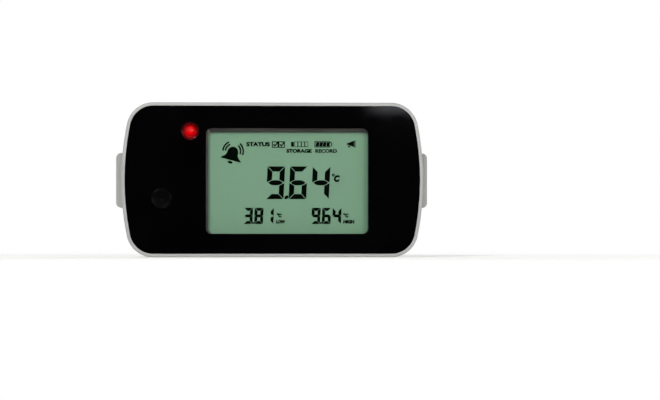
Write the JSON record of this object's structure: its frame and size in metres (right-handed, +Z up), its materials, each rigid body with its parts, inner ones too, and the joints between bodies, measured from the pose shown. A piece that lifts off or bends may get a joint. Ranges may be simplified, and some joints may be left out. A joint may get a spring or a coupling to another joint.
{
  "type": "temperature data logger",
  "caption": "Hand-sized temperature logger: light grey split housing, glossy black face with display, warning lamp and start button, battery door behind, strap slots at the ends.",
  "frame": {"origin": "middle of the logger's box, on the surface it stands on with its long lower side", "axes": "+X to the right along the length as seen from the front, +Y from the face to the back, +Z up"},
  "size_m": [0.0748, 0.0218, 0.0368],
  "materials": {
    "shell": "fine moulded texture",
    "face": "high gloss",
    "window": "clear, polished",
    "adhesive": "matt film",
    "foam": "closed-cell foam",
    "display_film": "satin polariser film",
    "display_glass": "clear float glass",
    "display_back": "satin reflecting film",
    "frame": "moulded",
    "contact_rubber": "striped silicone rubber",
    "board": "green solder mask",
    "steel": "zinc plated",
    "seal": "moulded rubber",
    "magnet": "nickel plated",
    "cell": "printed sleeve with bare steel ends",
    "contact_metal": "nickel-plated spring steel",
    "button": "gloss",
    "switch_body": "moulded",
    "switch_plunger": "moulded",
    "lamp": "red tinted epoxy, lit",
    "sounder": "moulded",
    "sensor": "resin bead",
    "chip": "moulded epoxy",
    "radio_board": "blue solder mask",
    "shield": "tin plated",
    "ceramic": "ceramic",
    "passives": "ceramic with tinned ends"
  },
  "bodies": {
    "housing": {"front_housing": "shell", "rear_housing": "shell", "face_plate": "face", "face_adhesive": "adhesive", "display_window": "window", "display_gasket": "foam", "lcd_front_polariser": "display_film", "lcd_front_glass": "display_glass", "lcd_rear_glass": "display_glass", "lcd_reflector": "display_back", "lcd_frame": "frame", "zebra_strips": "contact_rubber", "main_board": "board", "board_screws": "steel", "housing_screws": "steel", "housing_seal": "seal", "magnets": "magnet", "battery_1": "cell", "battery_2": "cell", "battery_springs": "contact_metal", "contact_negative": "contact_metal", "contact_positive": "contact_metal", "contact_link": "contact_metal", "start_switch": "switch_body", "alarm_led": "lamp", "led_leads": "steel", "sounder": "sounder", "temperature_sensor": "sensor", "microcontroller": "chip", "radio_module": "radio_board", "radio_shield": "shield", "chip_antenna": "ceramic", "memory_chip": "chip", "crystal": "shield", "supply_regulator": "chip", "chip_passives": "passives"},
    "battery_door": {"battery_door": "shell"},
    "start_button": {"start_button": "button"},
    "switch_plunger": {"switch_plunger": "switch_plunger"}
  },
  "joints": [
    {"name": "door_swing", "type": "hinge", "parent": "housing", "child": "battery_door", "pos_m": [-0.02475, 0.0109, 0.0184], "axis": [0, 0, 1], "range_deg": [0, 70]},
    {"name": "start_press", "type": "slide", "parent": "housing", "child": "start_button", "axis": [0, 1, 0], "range_m": [0, 0.00025], "stiffness_N_per_m": 1500},
    {"name": "plunger_press", "type": "slide", "parent": "housing", "child": "switch_plunger", "axis": [0, 1, 0], "range_m": [0, 0.00025]}
  ],
  "couplings": [
    {"joint": "plunger_press", "follows": "start_press", "ratio": 1}
  ]
}
